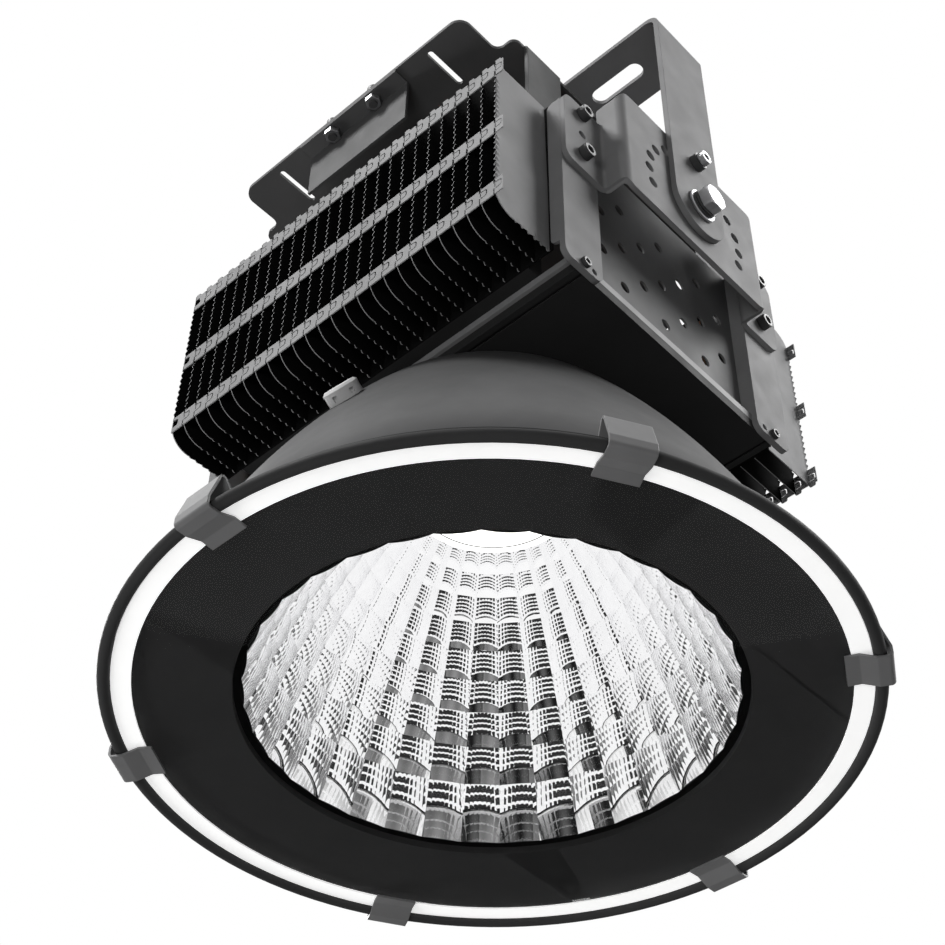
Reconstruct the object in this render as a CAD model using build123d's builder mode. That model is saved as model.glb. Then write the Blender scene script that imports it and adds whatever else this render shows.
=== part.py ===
from build123d import *
from math import asin, cos, degrees, radians, sin, sqrt
import os

# High-power LED flood light hanging in a tilting yoke, all sizes in millimetres.
# Origin on the optical axis at the lowest point of the rim clips, +Z away from the glass,
# Y along the tilting axis, X from the left fin stack to the right one.

# Clearances
fit_gap = 0.3
seat_gap = 0.1
yoke_side_gap = 0.5
running_gap = 0.06
screw_hole_gap = 0.3

# Front glass, its gasket and the mask
glass_r = 209.0
glass_t = 4.0
seal_web = 2.0
seal_low_lip = 9.3
seal_low_t = 1.0
seal_top_lip = 4.3
seal_top_t = 1.2
mask_t = 0.8
mask_inner_r = 145.0
mask_collar = 4.5

# Rim clips
clip_t = 1.5
clip_width = 25.0
clip_count = 6
clip_lip_rise = 3.5
clip_lip_reach = 11.0
clip_lip_tail = 8.0
clip_tail_drop = 0.7
clip_bulge = 1.55
clip_knee = 7.2
clip_peak = 28.4
clip_peak_in = 6.5
clip_foot_in = 7.0
clip_bend = 2.2

# Reflector
mouth_r = 140.5
mouth_flange_r = 150.0
reflector_depth = 164.0
apex_r = 55.0
apex_flange_r = 62.0
reflector_wall = 1.0
reflector_columns = 36
reflector_rows = 9
rim_row = 12.9

# Hood
hood_wall = 1.5
bead_r = 3.6
hood_foot_r = 199.8
hood_mid_r = 165.7
hood_mid_rise = 82.8
hood_crown_r = 107.1
hood_rise = 177.7
hood_port_r = 66.0

# Breather plug on the hood
vent_turn = 186.0
vent_z = 142.0
vent_r = 11.0
vent_h = 9.0
vent_stem_r = 6.0
vent_stem_h = 6.0
vent_slot_w = 3.0
vent_slot_h = 3.5
vent_slots = 6
vent_bevel = 1.5

# Light source
board_r = 62.0
board_t = 2.0
emitter_r = 38.0
emitter_t = 1.5
holder_r = 61.0
holder_inner_r = 50.0
hood_screw_ring_r = 86.0
hood_screw_count = 6

# Base plates
led_plate_w = 186.0
led_plate_t = 7.5
base_plate_w = 190.8
base_plate_t = 5.4
base_depth = 296.0
plate_groove_in = 5.0
plate_groove_w = 2.0
plate_groove_d = 1.5

# Spreaders and heat pipes
spreader_in = 92.0
spreader_t = 12.0
spreader_inset = 26.5
pipe_t = 5.0
pipe_w = 10.0
pipe_count = 8
pipe_top_drop = 13.5
pipe_bend = 14.0

# Fin stacks
fin_t = 0.6
fin_count = 26
fin_pitch = 11.06
fin_w = 47.0
fin_h = 144.4
fin_corner_r = 15.0
fin_foot_t = 0.8
fin_foot_spare = 2.6
tab_t = 0.6
tab_h = 13.0
tab_gap = 0.4
tab_end = 6.2
tab_drops = (8.0, 69.0, 129.0)
tongue_reach = 4.8
tongue_low = 4.2
tongue_h = 6.1
tongue_barb = 0.8

# Side channels
channel_t = 4.0
channel_in = 74.0
channel_out = 107.0
channel_drop = 0.7
channel_h = 154.5
channel_corner_r = 7.0
flange_t = 2.0
flange_reach = 6.5
flange_lift = 0.4
flange_top_r = 5.0

# Perforated end plates
grille_t = 1.5
grille_h = 136.0
grille_hole_r = 4.0
grille_hole_pitch = 39.3
grille_first_row = 24.9
grille_row_pitch = 19.05
grille_row_count = 5

# Tilt bridges
bridge_t = 3.5
bridge_half_w = 71.0
bridge_step = 20.5
bridge_bend = 4.0
bridge_low = 278.5
bridge_h = 98.0
bridge_corner_r = 10.0
ear_low = 282.5
ear_h = 67.5
ear_corner_r = 8.0
ear_screw_x = 90.3
ear_screw_low = 298.5
ear_screw_top = 340.0
ear_hole_r = 3.1

# Tilting axis and its index holes
pivot_z = 316.5
pivot_r = 6.0
pivot_head_af = 18.0
pivot_head_h = 7.5
pivot_nut_h = 10.0
pivot_washer_r = 12.0
pivot_washer_t = 2.0
pivot_spring_r = 10.0
pivot_spring_t = 3.0
pivot_thread_out = 3.0
index_r = 46.0
index_hole_r = 4.0
index_step = 18.0
index_count = 13

# Yoke
yoke_t = 4.0
yoke_w = 49.4
yoke_top = 520.5
yoke_bend = 9.0
yoke_slot_l = 44.0
yoke_slot_w = 13.0
yoke_slot_y = 121.0

# Lock screws
m6_r = 3.0
lock_head_r = 5.0
lock_head_h = 4.5
lock_spacer_r = 6.0
lock_spacer_h = 5.0
lock_tip_in = 0.2

# Small fasteners
cap_head_r = 5.0
cap_head_h = 6.0
socket_af = 5.0
socket_d = 3.0
channel_hole_x = 81.5
channel_hole_r = 2.2
channel_screw_drop = 3.3
m4_r = 2.0
small_head_r = 3.5
small_head_h = 2.8
small_socket_af = 3.0
small_socket_d = 1.6

# Driver tray
tray_t = 3.0
tray_z = 439.0
tray_half_w = 150.0
tray_wing_half = 106.0
tray_neck_half_w = 114.0
tray_corner_r = 10.0
tray_neck_r = 6.0
leg_in = 71.0
leg_out = 104.0
leg_bottom = 300.0
leg_bend = 4.0
tray_screw_low = 308.0
tray_screw_top = 334.0
long_slot_l = 32.5
long_slot_w = 4.5
long_slot_x = 128.25
long_slot_y = 72.0
short_slot_l = 19.5
short_slot_x = 134.75
short_slot_y = 33.0
oval_l = 9.0
oval_w = 8.0
oval_x = 141.5

# Hanger brackets under the tray
hanger_t = 2.0
hanger_half_l = 46.3
hanger_in = 136.5
hanger_drop = 43.5
hanger_bend = 1.2
hanger_bolt_x = 144.0
hanger_bolt_y = 19.8
hanger_nut_af = 10.0
hanger_nut_h = 5.0
hanger_thread_out = 1.5

# Levels, from the rim clips upwards
seal_z = clip_t + clip_lip_rise
glass_z = seal_z + seal_low_t
mask_z = glass_z + glass_t
seal_top_z = mask_z + mask_t
hood_flange_z = seal_top_z + seal_top_t
hood_flange_top = hood_flange_z + hood_wall
mouth_z = mask_z + mask_collar
apex_z = mouth_z + reflector_depth
hood_top = hood_flange_top + hood_rise
board_z = hood_top - board_t
base_z = hood_top + led_plate_t
base_top = base_z + base_plate_t
fin_top = base_top + fin_h
channel_z = hood_top - channel_drop

# Radii of the rim
seal_in_r = glass_r + fit_gap
seal_out_r = seal_in_r + seal_web
skirt_in_r = seal_out_r + fit_gap
skirt_out_r = skirt_in_r + hood_wall
bead_x = skirt_in_r + bead_r
bead_z = clip_t + seat_gap + bead_r
bead_out_r = bead_x + bead_r

# Planes across the tilting axis, counted outwards from the middle
end_y = base_depth / 2
ear_y = end_y + channel_t
face_in_y = ear_y + bridge_step - bridge_t
face_y = ear_y + bridge_step
arm_in_y = face_y + yoke_side_gap
arm_out_y = arm_in_y + yoke_t
pivot_washer_y = arm_out_y + fit_gap
pivot_spring_y = pivot_washer_y + pivot_washer_t
pivot_head_y = pivot_spring_y + pivot_spring_t
lock_z = pivot_z + index_r
fin_x = spreader_in + spreader_t
fin_out_x = fin_x + fin_w
spreader_end = end_y - spreader_inset
spreader_depth = 2 * spreader_end
pipe_pitch = spreader_depth / pipe_count
arc_mid_z = hood_flange_top + hood_mid_rise


def ring(inner_r, outer_r, bottom, top):
    with BuildPart() as piece:
        with BuildSketch(Plane.XY.offset(bottom)):
            Circle(outer_r)
            Circle(inner_r, mode=Mode.SUBTRACT)
        extrude(amount=top - bottom)
    return piece.part


def disc(radius, bottom, top):
    with BuildPart() as piece:
        with BuildSketch(Plane.XY.offset(bottom)):
            Circle(radius)
        extrude(amount=top - bottom)
    return piece.part


def front(distance):
    return Plane.XZ.offset(distance)


def save(part, name):
    part.label = name
    export_step(part, f"parts/{name}.step")


os.makedirs("parts", exist_ok=True)

# Front glass
with BuildPart() as front_glass:
    add(disc(glass_r, glass_z, mask_z))
save(front_glass.part, "front_glass")

# Gasket wrapped round the glass and the mask
with BuildPart() as seal_ring:
    with BuildSketch(Plane.XZ):
        with Locations((seal_in_r, seal_z)):
            Rectangle(seal_web, hood_flange_z - seal_z, align=(Align.MIN, Align.MIN))
        with Locations((seal_out_r, seal_z)):
            Rectangle(seal_low_lip + seal_web, seal_low_t, align=(Align.MAX, Align.MIN))
        with Locations((seal_out_r, seal_top_z)):
            Rectangle(seal_top_lip + seal_web, seal_top_t, align=(Align.MAX, Align.MIN))
    revolve(axis=Axis.Z)
save(seal_ring.part, "seal_ring")

# Mask with the collar that carries the reflector
with BuildPart() as mask_ring:
    add(ring(mask_inner_r, glass_r, mask_z, seal_top_z))
    add(ring(mask_inner_r, mask_inner_r + mask_t, mask_z, mouth_z))
save(mask_ring.part, "mask_ring")

# Faceted reflector: flat facets between many-sided sections on a parabola
row_step = (mouth_r - rim_row - apex_r) / (reflector_rows - 1)
section_radii = [mouth_r]
section_radii += [mouth_r - rim_row - row_step * row for row in range(reflector_rows)]
bowl_k = (mouth_r**2 - apex_r**2) / reflector_depth


def bowl_height(radius):
    return apex_z - (radius**2 - apex_r**2) / bowl_k


with BuildPart() as reflector:
    for radius in section_radii:
        with BuildSketch(Plane.XY.offset(bowl_height(radius))):
            RegularPolygon(radius + reflector_wall, reflector_columns)
    loft(ruled=True)
    with BuildSketch(Plane.XY.offset(mouth_z)):
        Circle(mouth_flange_r)
    extrude(amount=reflector_wall)
    with BuildSketch(Plane.XY.offset(apex_z)):
        Circle(apex_flange_r)
    extrude(amount=reflector_wall)
    for radius in section_radii:
        with BuildSketch(Plane.XY.offset(bowl_height(radius))):
            RegularPolygon(radius, reflector_columns)
    loft(ruled=True, mode=Mode.SUBTRACT)
    with BuildSketch(Plane.XY.offset(apex_z)):
        RegularPolygon(apex_r, reflector_columns)
    extrude(amount=reflector_wall, mode=Mode.SUBTRACT)
save(reflector.part, "reflector")

# The hood's outer arc gives the place and the slope of the breather plug
hood_foot = (hood_foot_r, hood_flange_top)
hood_mid = (hood_mid_r, arc_mid_z)
hood_crown = (hood_crown_r, hood_top)
dome_arc = ThreePointArc(hood_foot, hood_mid, hood_crown)
dome_centre = dome_arc.arc_center
dome_out_r = dome_arc.radius
dome_in_r = dome_out_r - hood_wall
vent_slope = degrees(asin((vent_z - dome_centre.Y) / dome_out_r))
vent_reach = dome_centre.X + dome_out_r * cos(radians(vent_slope))
vent_foot = Vector(
    vent_reach * cos(radians(vent_turn)),
    vent_reach * sin(radians(vent_turn)),
    vent_z,
)
vent_axis = Vector(
    cos(radians(vent_slope)) * cos(radians(vent_turn)),
    cos(radians(vent_slope)) * sin(radians(vent_turn)),
    sin(radians(vent_slope)),
)
vent_plane = Plane(origin=vent_foot, z_dir=vent_axis)


def dome_x(height, radius):
    return dome_centre.X + sqrt(radius**2 - (height - dome_centre.Y) ** 2)


# Spun hood with a rolled bead, a flange over the gasket and a flat crown
hood_under = hood_top - hood_wall
inner_foot = (dome_x(hood_flange_z, dome_in_r), hood_flange_z)
inner_mid = (dome_x(arc_mid_z, dome_in_r), arc_mid_z)
inner_crown = (dome_x(hood_under, dome_in_r), hood_under)
with BuildPart() as hood:
    with BuildSketch(Plane.XZ):
        with BuildLine():
            ThreePointArc(hood_foot, hood_mid, hood_crown)
            Polyline(hood_crown, (hood_port_r, hood_top), (hood_port_r, hood_under), inner_crown)
            ThreePointArc(inner_crown, inner_mid, inner_foot)
            Polyline(
                inner_foot,
                (skirt_in_r, hood_flange_z),
                (skirt_in_r, bead_z),
                (skirt_out_r, bead_z),
                (skirt_out_r, hood_flange_top),
                hood_foot,
            )
        make_face()
        with Locations((bead_x, bead_z)):
            Circle(bead_r)
    revolve(axis=Axis.Z)
    with BuildSketch(Plane.XY.offset(hood_top)):
        with PolarLocations(hood_screw_ring_r, hood_screw_count):
            Circle(m6_r + screw_hole_gap)
    extrude(amount=-hood_wall, mode=Mode.SUBTRACT)
    with BuildSketch(vent_plane):
        Circle(vent_stem_r + screw_hole_gap)
    extrude(amount=-vent_stem_h, mode=Mode.SUBTRACT)
save(hood.part, "hood")

# Breather plug with slots round its side
with BuildPart() as vent_plug:
    with BuildSketch(vent_plane):
        Circle(vent_r)
    extrude(amount=vent_h)
    chamfer(vent_plug.edges().filter_by(GeomType.CIRCLE).sort_by(Axis(vent_foot, vent_axis))[-1], vent_bevel)
    with BuildSketch(vent_plane):
        Circle(vent_stem_r)
    extrude(amount=-vent_stem_h)
    with BuildSketch(vent_plane.offset(vent_slot_w / 2)):
        with PolarLocations(vent_r, vent_slots):
            Rectangle(vent_slot_w, vent_slot_w)
    extrude(amount=vent_slot_h, mode=Mode.SUBTRACT)
save(vent_plug.part, "vent_plug")

# Spring clips round the rim
clip_contact_r = seal_in_r - clip_lip_reach / 2
clip_outer_r = bead_out_r + clip_bulge + clip_t / 2
clip_foot_z = hood_flange_top + clip_t / 2 - seat_gap
with BuildPart() as clip_body:
    with BuildSketch(Plane.XZ.offset(-clip_width / 2)):
        with BuildLine() as clip_line:
            FilletPolyline(
                (clip_contact_r - clip_lip_tail, seal_z - clip_t / 2 - clip_tail_drop),
                (clip_contact_r, seal_z - clip_t / 2 - seat_gap),
                (skirt_in_r + clip_t, clip_t / 2),
                (clip_outer_r, clip_t / 2),
                (clip_outer_r, clip_knee),
                (clip_outer_r - clip_peak_in, clip_peak),
                (skirt_in_r - clip_foot_in, clip_foot_z),
                radius=clip_bend,
            )
        trace(clip_line.line, line_width=clip_t)
    extrude(amount=clip_width)

for number in range(clip_count):
    with BuildPart() as rim_clip:
        add(clip_body.part, rotation=(0, 0, number * 360 / clip_count))
    save(rim_clip.part, f"rim_clip_{number + 1}")

# Light source on its board, and the white holder ring
with BuildPart() as led_board:
    add(disc(board_r, board_z, hood_top))
save(led_board.part, "led_board")

with BuildPart() as led_emitter:
    add(disc(emitter_r, board_z - emitter_t, board_z))
save(led_emitter.part, "led_emitter")

with BuildPart() as led_holder:
    add(ring(holder_inner_r, holder_r, apex_z + reflector_wall, board_z))
save(led_holder.part, "led_holder")

# Screws that hang the hood on the lower base plate
hood_screw_reach = led_plate_t - fit_gap
with BuildPart() as hood_screws:
    with BuildSketch(Plane.XY.offset(hood_top - hood_wall)):
        with PolarLocations(hood_screw_ring_r, hood_screw_count):
            Circle(cap_head_r)
    extrude(amount=-cap_head_h)
    with BuildSketch(Plane.XY.offset(hood_top - hood_wall)):
        with PolarLocations(hood_screw_ring_r, hood_screw_count):
            Circle(m6_r)
    extrude(amount=hood_wall + hood_screw_reach)
save(hood_screws.part, "hood_screws")

# Lower base plate, grooved near its long edges
with BuildPart() as led_plate:
    with BuildSketch(Plane.XY.offset(hood_top)):
        Rectangle(led_plate_w, base_depth)
        with PolarLocations(hood_screw_ring_r, hood_screw_count):
            Circle(m6_r, mode=Mode.SUBTRACT)
    extrude(amount=led_plate_t)
    with BuildSketch(Plane.XY.offset(hood_top)):
        with GridLocations(led_plate_w - 2 * plate_groove_in, 0, 2, 1):
            Rectangle(plate_groove_w, base_depth)
    extrude(amount=plate_groove_d, mode=Mode.SUBTRACT)
save(led_plate.part, "led_plate")

# Upper base plate
with BuildPart() as base_plate:
    with BuildSketch(Plane.XY.offset(base_z)):
        Rectangle(base_plate_w, base_depth)
    extrude(amount=base_plate_t)
save(base_plate.part, "base_plate")

# Upright spreaders that carry the fin stacks, drilled at both ends for the tray's legs
tray_screw_x = spreader_in + spreader_t / 2
tray_screw_depth = 2.5 * m6_r
tray_screw_spots = [(-tray_screw_x, tray_screw_low), (-tray_screw_x, tray_screw_top)]
with BuildPart() as spreader_left:
    with BuildSketch(Plane.XY.offset(base_top)):
        with Locations((-tray_screw_x, 0)):
            Rectangle(spreader_t, spreader_depth)
    extrude(amount=fin_h)
    for side in (1, -1):
        with BuildSketch(front(side * spreader_end)):
            with Locations(tray_screw_spots):
                Circle(m6_r)
        extrude(amount=-side * tray_screw_depth, mode=Mode.SUBTRACT)
save(spreader_left.part, "spreader_left")

with BuildPart() as spreader_right:
    mirror(spreader_left.part, about=Plane.YZ)
save(spreader_right.part, "spreader_right")

# Flattened heat pipes, bent up both spreaders
pipe_x = spreader_in - pipe_t / 2
pipe_z = base_top + pipe_t / 2
pipe_top = fin_top - pipe_top_drop
for number in range(pipe_count):
    pipe_y = (number - (pipe_count - 1) / 2) * pipe_pitch
    with BuildPart() as heat_pipe:
        with BuildSketch(front(-pipe_y - pipe_w / 2)):
            with BuildLine() as pipe_line:
                FilletPolyline(
                    (-pipe_x, pipe_top),
                    (-pipe_x, pipe_z),
                    (pipe_x, pipe_z),
                    (pipe_x, pipe_top),
                    radius=pipe_bend,
                )
            trace(pipe_line.line, line_width=pipe_t)
        extrude(amount=pipe_w)
    save(heat_pipe.part, f"heat_pipe_{number + 1}")

# Zipper fins: each sheet's tabs reach forward to the next sheet, where a barbed tongue
# lies in a slot of the tab in front, so the sheets lock into one another like a zip
tab_reach = fin_pitch - fin_t / 2 - tab_gap
tongue_tip = fin_pitch + tongue_reach
tongue_top = tongue_low + tongue_h
tongue_outline = [
    (-tab_reach, tongue_low),
    (-tongue_tip + tongue_barb, tongue_low),
    (-tongue_tip, tongue_low + tongue_barb),
    (-tongue_tip, tongue_top - 2 * tongue_barb),
    (-tab_reach, tongue_top),
]
slot_low = tongue_low - tab_gap
slot_top = tongue_top + tab_gap
slot_outline = [
    (fin_t / 2, slot_low),
    (-tongue_reach + tongue_barb, slot_low),
    (-tongue_reach - tab_gap, slot_low + tongue_barb),
    (-tongue_reach - tab_gap, slot_top - 2 * tongue_barb),
    (fin_t / 2, slot_top),
]
fin_mid_z = base_top + fin_h / 2
first_fin_y = -(fin_count - 1) / 2 * fin_pitch
tab_places = [fin_top - drop - tab_h / 2 for drop in tab_drops]


def zipper_fin(front_reach, with_tongue):
    with BuildPart() as fin:
        with BuildSketch(front(-fin_t / 2)) as fin_sheet:
            with Locations((-fin_out_x, base_top)):
                Rectangle(fin_w, fin_h, align=(Align.MIN, Align.MIN))
            fillet(fin_sheet.vertices().group_by(Axis.X)[0].sort_by(Axis.Y)[0], fin_corner_r)
        extrude(amount=fin_t)
        for tab_z in tab_places:
            with BuildSketch(Plane.YZ.offset(-fin_out_x)):
                with Locations((fin_t / 2, tab_z)):
                    Rectangle(front_reach + fin_t / 2, tab_h, align=(Align.MAX, Align.MIN))
                if with_tongue:
                    with BuildLine(Location((0, tab_z))):
                        Polyline(*tongue_outline, close=True)
                    make_face()
            extrude(amount=tab_t)
            with BuildSketch(Plane.YZ.offset(-fin_out_x)):
                with BuildLine(Location((0, tab_z))):
                    Polyline(*slot_outline, close=True)
                make_face()
            extrude(amount=tab_t + tab_gap, mode=Mode.SUBTRACT)
    return fin.part


with BuildPart() as fin_stack_left:
    with BuildSketch(Plane.XY.offset(base_top)):
        with Locations((-fin_x - fin_foot_t / 2, 0)):
            Rectangle(fin_foot_t, 2 * (fin_foot_spare - first_fin_y))
    extrude(amount=fin_h)
    with Locations((0, first_fin_y, 0)):
        add(zipper_fin(tab_end, False))
    with Locations([(0, first_fin_y + number * fin_pitch, 0) for number in range(1, fin_count)]):
        add(zipper_fin(tab_reach, True))
save(fin_stack_left.part, "fin_stack_left")

with BuildPart() as fin_stack_right:
    add(fin_stack_left.part.rotate(Axis((0, 0, fin_mid_z), (0, 1, 0)), 180))
save(fin_stack_right.part, "fin_stack_right")

# Side channels on both ends of the base, with flanges folded back along their long edges
channel_w = channel_out - channel_in
channel_mid = (channel_out + channel_in) / 2
channel_top = channel_z + channel_h
channel_screw_z = base_z - channel_screw_drop
flange_z = base_top + flange_lift
ear_screw_spots = [(-ear_screw_x, ear_screw_low), (-ear_screw_x, ear_screw_top)]
with BuildPart() as channel_front_left:
    with BuildSketch(front(end_y)) as channel_web:
        with Locations((-channel_mid, channel_z)):
            Rectangle(channel_w, channel_h, align=(Align.CENTER, Align.MIN))
        fillet(channel_web.vertices().group_by(Axis.Y)[0], channel_corner_r)
        with Locations(ear_screw_spots):
            Circle(m6_r, mode=Mode.SUBTRACT)
        with Locations((-ear_screw_x, channel_screw_z)):
            Circle(m4_r, mode=Mode.SUBTRACT)
        with Locations((-channel_hole_x, channel_screw_z)):
            Circle(channel_hole_r, mode=Mode.SUBTRACT)
    extrude(amount=channel_t)
    for edge_x in (channel_in + flange_t / 2, channel_out - flange_t / 2):
        with BuildSketch(Plane.YZ.offset(-edge_x - flange_t / 2)) as channel_flange:
            with Locations((-end_y, flange_z)):
                Rectangle(flange_reach, channel_top - flange_z, align=(Align.MIN, Align.MIN))
            fillet(channel_flange.vertices().group_by(Axis.X)[-1], flange_top_r)
        extrude(amount=flange_t)
save(channel_front_left.part, "channel_front_left")

with BuildPart() as channel_front_right:
    mirror(channel_front_left.part, about=Plane.YZ)
save(channel_front_right.part, "channel_front_right")

with BuildPart() as channel_rear_left:
    mirror(channel_front_left.part, about=Plane.XZ)
save(channel_rear_left.part, "channel_rear_left")

with BuildPart() as channel_rear_right:
    mirror(channel_front_right.part, about=Plane.XZ)
save(channel_rear_right.part, "channel_rear_right")


def socket_screws(spots, seat_y, reach, shank_r, head_r, head_h, flats, depth):
    with BuildPart() as screws:
        with BuildSketch(front(seat_y)):
            with Locations(spots):
                Circle(head_r)
        extrude(amount=head_h)
        with BuildSketch(front(seat_y + head_h)):
            with Locations(spots):
                RegularPolygon(flats / 2, 6, major_radius=False)
        extrude(amount=-depth, mode=Mode.SUBTRACT)
        with BuildSketch(front(seat_y)):
            with Locations(spots):
                Circle(shank_r)
        extrude(amount=-reach)
    return screws.part


def cap_screws(spots, seat_y, reach):
    return socket_screws(spots, seat_y, reach, m6_r, cap_head_r, cap_head_h, socket_af, socket_d)


def both_sides(spots):
    return list(spots) + [(-x, z) for x, z in spots]


# Small screws that hold the channels to the ends of the lower plate
channel_screw_spots = both_sides([(-ear_screw_x, channel_screw_z)])
small_head = (m4_r, small_head_r, small_head_h, small_socket_af, small_socket_d)
with BuildPart() as channel_screws_front:
    add(socket_screws(channel_screw_spots, ear_y, channel_t, *small_head))
save(channel_screws_front.part, "channel_screws_front")

with BuildPart() as channel_screws_rear:
    mirror(channel_screws_front.part, about=Plane.XZ)
save(channel_screws_rear.part, "channel_screws_rear")

# Perforated end plates between the channels
grille_in_y = end_y - flange_reach - fit_gap
hole_spots = []
for row in range(grille_row_count):
    row_z = base_top + grille_first_row + row * grille_row_pitch
    shift = (row % 2) * grille_hole_pitch / 2
    hole_spots += [(column * grille_hole_pitch + shift, row_z) for column in range(-1, 2)]
    hole_spots += [(-grille_hole_pitch - shift, row_z)] * (row % 2)
with BuildPart() as grille_front:
    with BuildSketch(front(grille_in_y - grille_t / 2)):
        with Locations((0, base_top)):
            Rectangle(2 * channel_in, grille_h, align=(Align.CENTER, Align.MIN))
        with Locations(hole_spots):
            Circle(grille_hole_r, mode=Mode.SUBTRACT)
    extrude(amount=grille_t)
save(grille_front.part, "grille_front")

with BuildPart() as grille_rear:
    mirror(grille_front.part, about=Plane.XZ)
save(grille_rear.part, "grille_rear")

# Tilt bridges: hat sections with a fan of index holes round the pivot
index_first = 90 - index_step * (index_count - 1) / 2
index_spots = []
for number in range(index_count):
    turn = radians(index_first + number * index_step)
    index_spots.append((index_r * cos(turn), pivot_z + index_r * sin(turn)))
bridge_top = bridge_low + bridge_h
ear_line_y = -ear_y - bridge_t / 2
face_line_y = -face_y + bridge_t / 2
leg_line_x = bridge_half_w - bridge_t / 2
with BuildPart() as bridge_front:
    with BuildSketch(Plane.XY.offset(bridge_low)):
        with BuildLine() as hat_line:
            FilletPolyline(
                (-channel_out, ear_line_y),
                (-leg_line_x, ear_line_y),
                (-leg_line_x, face_line_y),
                (leg_line_x, face_line_y),
                (leg_line_x, ear_line_y),
                (channel_out, ear_line_y),
                radius=bridge_bend,
            )
        trace(hat_line.line, line_width=bridge_t)
    extrude(amount=bridge_h)
    with BuildSketch(front(ear_y)) as bridge_outline:
        with Locations((0, ear_low + ear_h / 2)):
            RectangleRounded(2 * channel_out, ear_h, ear_corner_r)
        with Locations((0, bridge_low + bridge_h / 2)):
            RectangleRounded(2 * bridge_half_w, bridge_h, bridge_corner_r)
        with Locations((0, pivot_z)):
            Circle(pivot_r + screw_hole_gap, mode=Mode.SUBTRACT)
        with Locations(index_spots):
            Circle(index_hole_r, mode=Mode.SUBTRACT)
        with Locations(both_sides(ear_screw_spots)):
            Circle(m6_r + screw_hole_gap, mode=Mode.SUBTRACT)
        with Locations(both_sides([(-ear_screw_x, (ear_screw_low + ear_screw_top) / 2)])):
            Circle(ear_hole_r, mode=Mode.SUBTRACT)
    extrude(amount=bridge_step, mode=Mode.INTERSECT)
save(bridge_front.part, "bridge_front")

with BuildPart() as bridge_rear:
    mirror(bridge_front.part, about=Plane.XZ)
save(bridge_rear.part, "bridge_rear")

# Screws through the bridge's ears into the channels
ear_seat_y = ear_y + bridge_t
with BuildPart() as ear_screws_front:
    add(cap_screws(both_sides(ear_screw_spots), ear_seat_y, bridge_t + channel_t))
save(ear_screws_front.part, "ear_screws_front")

with BuildPart() as ear_screws_rear:
    mirror(ear_screws_front.part, about=Plane.XZ)
save(ear_screws_rear.part, "ear_screws_rear")

# Yoke: one flat bar bent into a U, with a slot at each side of its top
arm_line_y = arm_in_y + yoke_t / 2
yoke_line_z = yoke_top - yoke_t / 2
with BuildPart() as yoke:
    with BuildSketch(Plane.YZ.offset(-yoke_w / 2)):
        with BuildLine() as yoke_line:
            FilletPolyline(
                (-arm_line_y, pivot_z),
                (-arm_line_y, yoke_line_z),
                (arm_line_y, yoke_line_z),
                (arm_line_y, pivot_z),
                radius=yoke_bend,
            )
        trace(yoke_line.line, line_width=yoke_t)
    extrude(amount=yoke_w)
    for distance in (arm_in_y, -arm_out_y):
        with BuildSketch(front(distance)):
            with Locations((0, pivot_z)):
                Circle(yoke_w / 2)
        extrude(amount=yoke_t)
        with BuildSketch(front(distance)):
            with Locations((0, pivot_z)):
                Circle(pivot_r + running_gap)
            with Locations((0, lock_z)):
                Circle(m6_r)
        extrude(amount=yoke_t, mode=Mode.SUBTRACT)
    with BuildSketch(Plane.XY.offset(yoke_top)):
        with GridLocations(0, 2 * yoke_slot_y, 1, 2):
            SlotOverall(yoke_slot_l, yoke_slot_w, rotation=90)
    extrude(amount=-yoke_t, mode=Mode.SUBTRACT)
save(yoke.part, "yoke")

# Pivot bolts with their washers and nuts, one set at each end
pivot_tip_y = face_in_y - pivot_nut_h - pivot_thread_out


def pivot_pair(shape):
    with BuildPart() as pair:
        add(shape)
        mirror(shape, about=Plane.XZ)
    return pair.part


def pivot_ring(hole_r, outer_r, low, high):
    with BuildPart() as piece:
        with BuildSketch(front(low)):
            with Locations((0, pivot_z)):
                Circle(outer_r)
                if hole_r:
                    Circle(hole_r, mode=Mode.SUBTRACT)
        extrude(amount=high - low)
    return piece.part


def hexagon_piece(low, high, flats, hole_r):
    with BuildPart() as piece:
        with BuildSketch(front(low)):
            with Locations((0, pivot_z)):
                RegularPolygon(flats / 2, 6, major_radius=False)
                if hole_r:
                    Circle(hole_r, mode=Mode.SUBTRACT)
        extrude(amount=high - low)
    return piece.part


with BuildPart() as pivot_bolt:
    add(hexagon_piece(pivot_head_y, pivot_head_y + pivot_head_h, pivot_head_af, 0))
    add(pivot_ring(0, pivot_r, pivot_tip_y, pivot_head_y))
save(pivot_pair(pivot_bolt.part), "pivot_bolts")
save(pivot_pair(hexagon_piece(face_in_y - pivot_nut_h, face_in_y, pivot_head_af, pivot_r)), "pivot_nuts")

washer_hole_r = pivot_r + screw_hole_gap
flat_washer = pivot_ring(washer_hole_r, pivot_washer_r, pivot_washer_y, pivot_spring_y)
spring_washer = pivot_ring(washer_hole_r, pivot_spring_r, pivot_spring_y, pivot_head_y)
save(pivot_pair(flat_washer), "pivot_washers")
save(pivot_pair(spring_washer), "pivot_spring_washers")

# Lock screws in the yoke's arms, backed off from the index holes
lock_seat_y = arm_out_y + lock_spacer_h
lock_spots = [(0, lock_z)]
with BuildPart() as lock_screw:
    with BuildSketch(front(lock_seat_y)):
        with Locations(lock_spots):
            Circle(lock_head_r)
    extrude(amount=lock_head_h)
    with BuildSketch(front(lock_seat_y + lock_head_h)):
        with Locations(lock_spots):
            RegularPolygon(socket_af / 2, 6, major_radius=False)
    extrude(amount=-socket_d, mode=Mode.SUBTRACT)
    with BuildSketch(front(lock_seat_y)):
        with Locations(lock_spots):
            Circle(m6_r)
    extrude(amount=-(lock_spacer_h + yoke_t - lock_tip_in))
save(pivot_pair(lock_screw.part), "lock_screws")

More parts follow.
